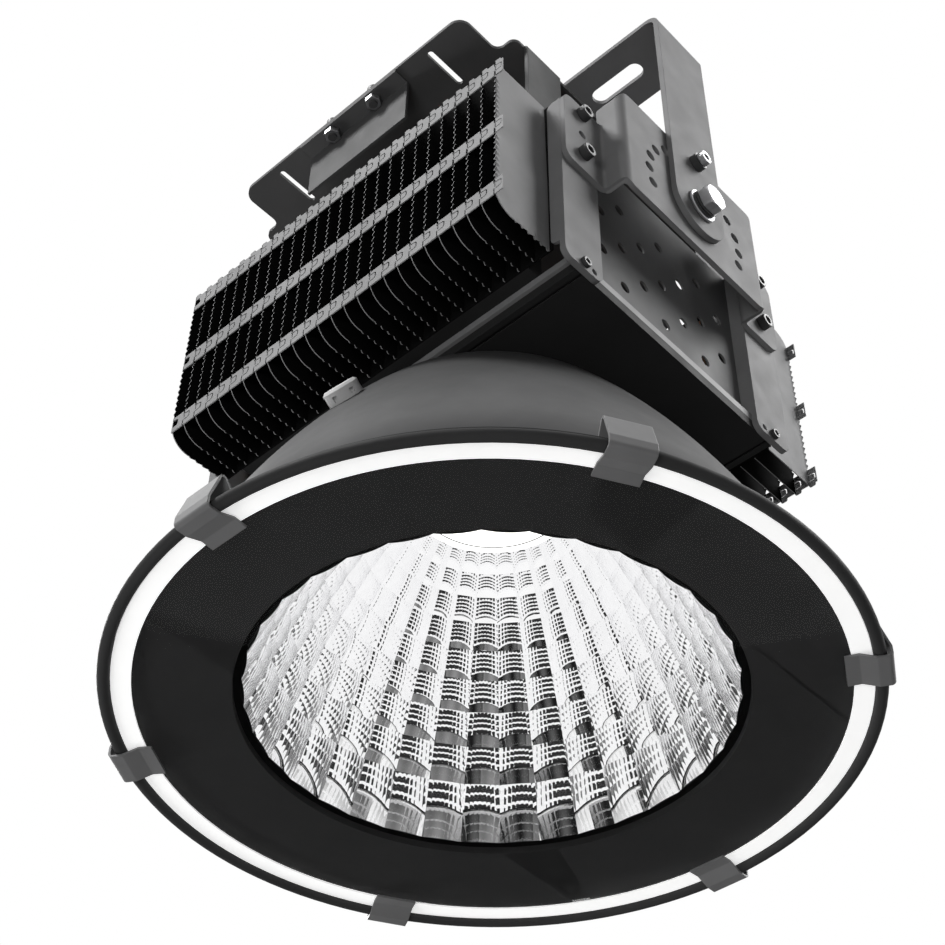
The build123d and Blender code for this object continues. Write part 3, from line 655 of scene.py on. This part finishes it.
def add_collar(verts, faces):
    """The flat ring round the bowl's mouth, near-black as painted shade for the shadowed gap between bowl
    and mask.
    """
    start = len(verts)
    for radius in (COLLAR_IN, COLLAR_OUT):
        for i in range(COLLAR_STEPS):
            turn = 2 * math.pi * i / COLLAR_STEPS
            verts.append((radius * math.cos(turn), radius * math.sin(turn), MOUTH_Z))
    for i in range(COLLAR_STEPS):
        j = (i + 1) % COLLAR_STEPS
        faces.append((start + i, start + j, start + COLLAR_STEPS + j, start + COLLAR_STEPS + i))


bowl_verts, bowl_faces = bowl()
facet_count = len(bowl_faces)
add_collar(bowl_verts, bowl_faces)
facets = mesh_piece(
    "bowl_facets",
    bowl_verts,
    bowl_faces,
    mirror,
    LAMP,
    smooth=True,
    replaces="reflector",
)
# The collar's faces get the painted shade.
facets.data.materials.append(collar_shade_paint)
for face in facets.data.polygons[facet_count:]:
    face.material_index = 1


# Fasteners, with their distances from the lamp's middle along Y
SIDES = 144
PIVOT_SPOTS = ((0.0, 316.5),)
LOCK_SPOTS = ((0.0, 362.5),)
EAR_SPOTS = ((-90.3, 298.5), (-90.3, 340.0), (90.3, 298.5), (90.3, 340.0))
CHANNEL_SPOTS = ((-90.3, 195.4), (90.3, 195.4))
BOTH_ENDS = (-1, 1)
SHARP_TURN = 28.0
SPRING_CUT = (0.6, 0.68)
BOLT_TIP = 156.0
BOLT_R = 6.0
THREAD_END = 176.0
THREAD_DEPTH = 0.55
THREAD_PITCH = 1.75
WASHER_LOW = 177.3
WASHER_TOP = 179.3
WASHER_BORE = 6.3
WASHER_R = 12.0
SPRING_R = 10.0
SPRING_FLOOR = 8.4
HEAD_LOW = 182.3
HEAD_FLATS = 18.0


def hexagon(flats, limit=1000.0):
    """A hexagon's radius by angle, cut by a circle where it is chamfered."""

    def radius(turn):
        return min(limit, flats / 2 / math.cos(turn % (math.pi / 3) - math.pi / 6))

    return radius


def knurled(outer, depth=0.14, count=36):
    """The grooved side of a cap screw's head."""

    def radius(turn):
        return outer - depth * (0.5 + 0.5 * math.cos(count * turn))

    return radius


def split(outer, floor):
    """A round washer with the cut of a spring washer."""

    def radius(turn):
        return floor if SPRING_CUT[0] < turn < SPRING_CUT[1] else outer

    return radius


def turned_piece(verts, faces, spots, rings, sign, loop=False):
    """Rings of points along Y at each spot; a ring is its distance from the middle and its radius."""
    for x, z in spots:
        start = len(verts)
        for away, size in rings:
            for i in range(SIDES):
                turn = 2 * math.pi * i / SIDES
                radius = size(turn) if callable(size) else size
                verts.append((x + radius * math.cos(turn), sign * away, z + radius * math.sin(turn)))
        last = len(rings) if loop else len(rings) - 1
        for ring in range(last):
            a = start + ring * SIDES
            b = start + (ring + 1) % len(rings) * SIDES
            for i in range(SIDES):
                j = (i + 1) % SIDES
                faces.append((a + i, a + j, b + j, b + i) if sign > 0 else (a + j, a + i, b + i, b + j))
        if not loop:
            end = start + (len(rings) - 1) * SIDES
            faces.append(tuple(start + i for i in range(SIDES))[::-sign])
            faces.append(tuple(end + i for i in range(SIDES))[::sign])


def fastener_piece(name, spots, rings, signs, material, body, slot, node, loop=False):
    """The same fastener at every spot and end, as one piece."""
    verts, faces = [], []
    for sign in signs:
        turned_piece(verts, faces, spots, rings, sign, loop)
    piece = mesh_piece(name, verts, faces, material, body, smooth=True, replaces=node)
    piece.data.set_sharp_from_angle(angle=math.radians(SHARP_TURN))


def thread(low, high, outer, depth, pitch):
    """Crests and roots, one pair a turn."""
    rings = []
    place = low
    while place < high:
        rings.append((place, outer - depth))
        rings.append((place + pitch / 2, outer))
        place += pitch
    return rings


def cap_screw(tip, seat, head_h, shank, head, flats, depth):
    """A cap screw with a hexagon socket; shank and head are radii."""
    top = seat + head_h
    return [
        (tip, shank - 0.6),
        (tip + 0.6, shank),
        (seat, shank),
        (seat, head - 0.3),
        (seat + 0.3, knurled(head)),
        (top - 0.9, knurled(head)),
        (top - 0.7, head - 0.1),
        (top - 0.2, head - 0.15),
        (top, head - 0.5),
        (top, flats / 2 + 0.55),
        (top - 0.35, hexagon(flats)),
        (top - depth, hexagon(flats)),
    ]


bolt_rings = [
    (BOLT_TIP, BOLT_R - 1.0),
    *thread(BOLT_TIP + 0.6, THREAD_END, BOLT_R, THREAD_DEPTH, THREAD_PITCH),
    (THREAD_END + 1.5, BOLT_R - 0.1),
    (HEAD_LOW, BOLT_R - 0.1),
    (HEAD_LOW, 8.5),
    (HEAD_LOW + 0.4, 8.5),
    (HEAD_LOW + 0.45, hexagon(HEAD_FLATS - 0.1)),
    (HEAD_LOW + 5.7, hexagon(HEAD_FLATS)),
    (HEAD_LOW + 6.6, hexagon(HEAD_FLATS, 9.8)),
    (HEAD_LOW + 7.1, hexagon(HEAD_FLATS - 0.1, 9.2)),
    (HEAD_LOW + 7.4, 8.6),
    (HEAD_LOW + 7.5, 7.8),
]
washer_rings = [
    (WASHER_LOW, WASHER_BORE),
    (WASHER_LOW, WASHER_R - 0.3),
    (WASHER_LOW + 0.3, WASHER_R),
    (WASHER_TOP - 0.4, WASHER_R),
    (WASHER_TOP, WASHER_R - 0.4),
    (WASHER_TOP, WASHER_BORE),
]
spring_rim = split(SPRING_R, SPRING_FLOOR)
spring_corner = split(SPRING_R - 0.3, SPRING_FLOOR)
spring_rings = [
    (WASHER_TOP, WASHER_BORE),
    (WASHER_TOP, spring_corner),
    (WASHER_TOP + 0.3, spring_rim),
    (WASHER_TOP + 1.2, spring_rim),
    (WASHER_TOP + 1.45, 8.6),
    (WASHER_TOP + 1.6, 8.6),
    (WASHER_TOP + 1.8, spring_rim),
    (HEAD_LOW - 0.3, spring_rim),
    (HEAD_LOW, spring_corner),
    (HEAD_LOW, WASHER_BORE),
]
lock_rings = cap_screw(tip=173.2, seat=182.0, head_h=4.5, shank=3.0, head=5.0, flats=5.0, depth=3.0)
ear_rings = cap_screw(tip=148.0, seat=155.5, head_h=6.0, shank=3.0, head=5.0, flats=5.0, depth=3.0)
channel_rings = cap_screw(tip=148.0, seat=152.0, head_h=2.8, shank=2.0, head=3.5, flats=3.0, depth=1.6)

zinc_on_lamp = (BOTH_ENDS, bright_zinc, LAMP, "zinc")
black_on_lamp = (BOTH_ENDS, black_steel, LAMP, "screw_black")
zinc_on_yoke = (BOTH_ENDS, bright_zinc, YOKE, "zinc")
fastener_piece("bolts_pivot", PIVOT_SPOTS, bolt_rings, *zinc_on_lamp, "pivot_bolts")
fastener_piece("washers_pivot", PIVOT_SPOTS, washer_rings, *zinc_on_lamp, "pivot_washers", loop=True)
fastener_piece("springs_pivot", PIVOT_SPOTS, spring_rings, *black_on_lamp, "pivot_spring_washers", loop=True)
fastener_piece("screws_lock", LOCK_SPOTS, lock_rings, *zinc_on_yoke, "lock_screws")
for end, sign in (("front", -1), ("rear", 1)):
    black_at_end = ((sign,), black_steel, LAMP, "screw_black")
    fastener_piece(f"screws_ear_{end}", EAR_SPOTS, ear_rings, *black_at_end, f"ear_screws_{end}")
    fastener_piece(
        f"screws_channel_{end}", CHANNEL_SPOTS, channel_rings, *black_at_end, f"channel_screws_{end}"
    )

# Light
CENTRE = (0.0, 0.0, 0.28)
AMBIENT = 0.02
# Painted reflection on the floor, seen by glossy rays only: card shapes, a ring, a core and strips.
PAINTED_REFLECTION_EDGE = 3.85
PAINTED_REFLECTION_FAN = 52.0
PAINTED_REFLECTION_NEAR_FAN = 102.0
PAINTED_REFLECTION_RING = (2.1, 2.9)
PAINTED_REFLECTION_CORE = 0.9
PAINTED_REFLECTION_DARK = 0.03
PAINTED_REFLECTION_STRIPS = 19.0
STRIP_SWING = 0.05
STRIP_VALUE = 0.06
STRIP_SIDE_VALUE = 0.18
DIAGONAL = 0.7071
FLOOR_Z = -2400.0
FLOOR_HALF = 24000.0
FLOOR_CELLS = 12


def lamp(name, place, target, size, power, spread=120.0):
    """A soft box that points at the target."""
    data = bpy.data.lights.new(name, "AREA")
    data.shape = "RECTANGLE"
    data.size, data.size_y = size
    data.energy = power
    data.spread = math.radians(spread)
    thing = bpy.data.objects.new(name, data)
    thing.location = place
    thing.rotation_euler = (Vector(target) - Vector(place)).to_track_quat("-Z", "Y").to_euler()
    bpy.context.scene.collection.objects.link(thing)
    return thing


lamp("front_box", (1.5, -1.45, 1.9), CENTRE, size=(1.5, 1.5), power=44.0)
lamp("left_box", (-1.9, 0.8, 2.3), CENTRE, size=(0.7, 0.8), power=46.0)
lamp("rear_box", (0.4, 2.1, 1.6), CENTRE, size=(1.0, 1.0), power=32.0)
low_box = lamp("low_box", (-1.7, -0.7, -0.5), CENTRE, size=(0.8, 0.8), power=5.0)
under_box = lamp("under_box", (-0.3, 1.5, -0.45), CENTRE, size=(0.6, 0.6), power=6.0)
low_box.visible_glossy = False
under_box.visible_glossy = False

world = bpy.data.worlds.new("studio")
bpy.context.scene.world = world
world.use_nodes = True
tree = world.node_tree
tree.nodes.clear()
world_out = tree.nodes.new("ShaderNodeOutputWorld")
backdrop = tree.nodes.new("ShaderNodeBackground")
ambient = tree.nodes.new("ShaderNodeBackground")
switch = tree.nodes.new("ShaderNodeMixShader")
paths = tree.nodes.new("ShaderNodeLightPath")
direct = tree.nodes.new("ShaderNodeMath")
direct.operation = "MAXIMUM"
shown = tree.nodes.new("ShaderNodeMath")
shown.operation = "MAXIMUM"
backdrop.inputs["Color"].default_value = (1, 1, 1, 1)
backdrop.inputs["Strength"].default_value = 1.0
ambient.inputs["Color"].default_value = (1, 1, 1, 1)
ambient.inputs["Strength"].default_value = AMBIENT
tree.links.new(paths.outputs["Is Camera Ray"], direct.inputs[0])
tree.links.new(paths.outputs["Is Glossy Ray"], direct.inputs[1])
tree.links.new(direct.outputs[0], shown.inputs[0])
tree.links.new(paths.outputs["Is Transmission Ray"], shown.inputs[1])
tree.links.new(shown.outputs[0], switch.inputs[0])
tree.links.new(ambient.outputs[0], switch.inputs[1])
tree.links.new(backdrop.outputs[0], switch.inputs[2])
tree.links.new(switch.outputs[0], world_out.inputs[0])


def floor_material():
    """A pale floor. Mirrors see a painted reflection on it: bright and dark card shapes round the lamp's
    axis, and strips, which glossy rays alone see.
    """
    n = Nodes("pale_floor")

    def calc(operation, *values):
        node = n.add("ShaderNodeMath", operation=operation)
        for socket, value in zip(node.inputs, values):
            if isinstance(value, (float, int)):
                socket.default_value = value
            else:
                n.link(value, socket)
        return node.outputs[0]

    paths = n.add("ShaderNodeLightPath")
    white = n.add("ShaderNodeEmission")
    place = n.add("ShaderNodeSeparateXYZ")
    n.link(n.coords, place.inputs[0])
    x, y = place.outputs["X"], place.outputs["Y"]
    along = calc("MULTIPLY", calc("ADD", x, y), -DIAGONAL)
    across = calc("MULTIPLY", calc("SUBTRACT", y, x), DIAGONAL)
    radius = calc("SQRT", calc("ADD", calc("MULTIPLY", x, x), calc("MULTIPLY", y, y)))
    turn = calc("ARCTAN2", across, along)
    swing = calc("ABSOLUTE", turn)
    far = calc("GREATER_THAN", radius, PAINTED_REFLECTION_EDGE)
    outer = calc("MULTIPLY", far, calc("LESS_THAN", swing, math.radians(PAINTED_REFLECTION_FAN)))
    near = calc("LESS_THAN", swing, math.radians(PAINTED_REFLECTION_NEAR_FAN))
    core = calc("LESS_THAN", radius, PAINTED_REFLECTION_CORE)
    past_ring = calc("GREATER_THAN", radius, PAINTED_REFLECTION_RING[0])
    ring = calc("MULTIPLY", past_ring, calc("LESS_THAN", radius, PAINTED_REFLECTION_RING[1]))
    bright = calc("MAXIMUM", calc("MAXIMUM", near, core), ring)
    lit = n.remap(bright, 0.0, 1.0, PAINTED_REFLECTION_DARK, 1.0)
    sine = calc("SINE", calc("MULTIPLY", turn, PAINTED_REFLECTION_STRIPS))
    strips = calc("MULTIPLY_ADD", sine, STRIP_SWING, STRIP_VALUE)
    strips = calc("ADD", strips, calc("MULTIPLY", calc("LESS_THAN", turn, 0.0), STRIP_SIDE_VALUE))
    inner = calc("MULTIPLY", calc("SUBTRACT", 1.0, outer), lit)
    seen = calc("ADD", calc("MULTIPLY", outer, strips), inner)
    # Glossy rays alone see the painted reflection.
    mirrored = calc("MULTIPLY", paths.outputs["Is Glossy Ray"], seen)
    strength = calc("MAXIMUM", mirrored, paths.outputs["Is Camera Ray"])
    n.link(strength, white.inputs["Strength"])
    direct = calc("MAXIMUM", paths.outputs["Is Camera Ray"], paths.outputs["Is Glossy Ray"])
    shown = calc("MAXIMUM", direct, paths.outputs["Is Transmission Ray"])
    through = n.add("ShaderNodeMixShader")
    plain_white = n.add("ShaderNodeEmission")
    n.link(paths.outputs["Is Transmission Ray"], through.inputs[0])
    n.link(white.outputs[0], through.inputs[1])
    n.link(plain_white.outputs[0], through.inputs[2])
    shade = n.add("ShaderNodeMixShader")
    n.link(shown, shade.inputs[0])
    n.link(n.shader.outputs[0], shade.inputs[1])
    n.link(through.outputs[0], shade.inputs[2])
    n.link(shade.outputs[0], n.out.inputs[0])
    tone = n.ramp(n.noise(3.0, 3.0), [(0.3, (0.74, 0.74, 0.74)), (0.7, (0.8, 0.8, 0.8))])
    n.set(Base_Color=tone, Roughness=0.9)
    return n.material


floor_places = [-FLOOR_HALF + 2 * FLOOR_HALF * i / FLOOR_CELLS for i in range(FLOOR_CELLS + 1)]
floor_verts = [(x, y, FLOOR_Z) for x in floor_places for y in floor_places]
floor_faces = []
for i in range(FLOOR_CELLS):
    for j in range(FLOOR_CELLS):
        a = i * (FLOOR_CELLS + 1) + j
        b = a + FLOOR_CELLS + 1
        floor_faces.append((a, b, b + 1, a + 1))
floor_mesh = bpy.data.meshes.new("floor")
floor_mesh.from_pydata([tuple(c * MM for c in v) for v in floor_verts], [], floor_faces)
floor = bpy.data.objects.new("floor", floor_mesh)
bpy.context.scene.collection.objects.link(floor)
floor_mesh.materials.append(floor_material())
